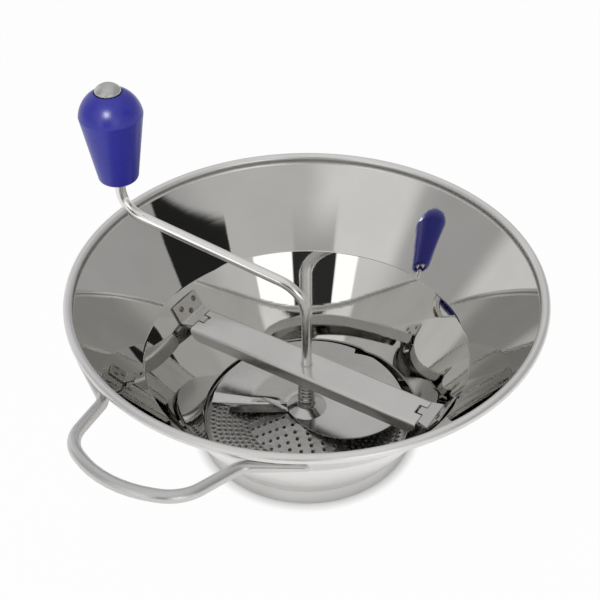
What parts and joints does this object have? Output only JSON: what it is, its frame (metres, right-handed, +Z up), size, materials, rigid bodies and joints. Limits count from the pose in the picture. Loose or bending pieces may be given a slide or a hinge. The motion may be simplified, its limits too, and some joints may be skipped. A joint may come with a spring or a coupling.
{
  "type": "food mill",
  "caption": "Hand-cranked food mill: flared steel bowl with a loop handle, perforated sieve disc, sprung crossbar, and a crank with a round knob that turns a winding plate over the sieve.",
  "frame": {"origin": "on the bowl's axis, at the plane that the bowl stands on", "axes": "+Z up along the bowl's and the crank's axis, X along the crossbar, the loop handle towards -Y"},
  "size_m": [0.31, 0.356, 0.2487],
  "materials": {
    "bowl_steel": "satin outside and on the flare, polished in the lower cone",
    "rod_steel": "satin drawn bar",
    "weld_metal": "ground weld",
    "bracket_steel": "satin sheet",
    "sieve_steel": "bright rolled sheet",
    "bar_steel": "satin sheet",
    "bush_steel": "turned",
    "spring_steel": "bright drawn wire",
    "impeller_steel": "polished sheet",
    "blue_plastic": "satin moulded",
    "cap_steel": "satin"
  },
  "bodies": {
    "bowl": {"bowl_shell": "bowl_steel", "handle_loop": "rod_steel", "right_handle_weld": "weld_metal", "left_handle_weld": "weld_metal", "right_bracket": "bracket_steel", "left_bracket": "bracket_steel", "right_spot_welds": "weld_metal", "left_spot_welds": "weld_metal", "sieve_disc": "sieve_steel"},
    "crossbar": {"crossbar_channel": "bar_steel", "crossbar_bush": "bush_steel", "spring_top_washer": "bush_steel", "pressure_spring": "spring_steel"},
    "thrust_seat": {"spring_seat_washer": "bush_steel"},
    "crank": {"crank_rod": "rod_steel", "impeller_plate": "impeller_steel", "impeller_hub": "impeller_steel", "hub_pin": "bush_steel", "knob_stop_ring": "bush_steel", "knob_end_cap": "cap_steel"},
    "knob": {"knob_grip": "blue_plastic", "knob_sleeve": "bush_steel"}
  },
  "joints": [
    {"name": "bar_press", "type": "slide", "parent": "bowl", "child": "crossbar", "axis": [0, 0, -1], "range_m": [0, 0.003], "stiffness_N_per_m": 2000, "springref_m": -0.01, "deforming": ["pressure_spring"]},
    {"name": "blade_float", "type": "slide", "parent": "bowl", "child": "thrust_seat", "axis": [0, 0, 1], "range_m": [0, 0.005], "stiffness_N_per_m": 2000, "springref_m": -0.01, "deforming": ["pressure_spring"]},
    {"name": "crank_turn", "type": "hinge", "parent": "thrust_seat", "child": "crank", "pos_m": [0, 0, 0.1], "axis": [0, 0, 1], "continuous": true},
    {"name": "knob_spin", "type": "hinge", "parent": "crank", "child": "knob", "pos_m": [-0.1255, -0.02713, 0.181], "axis": [0, 0, 1], "continuous": true}
  ]
}
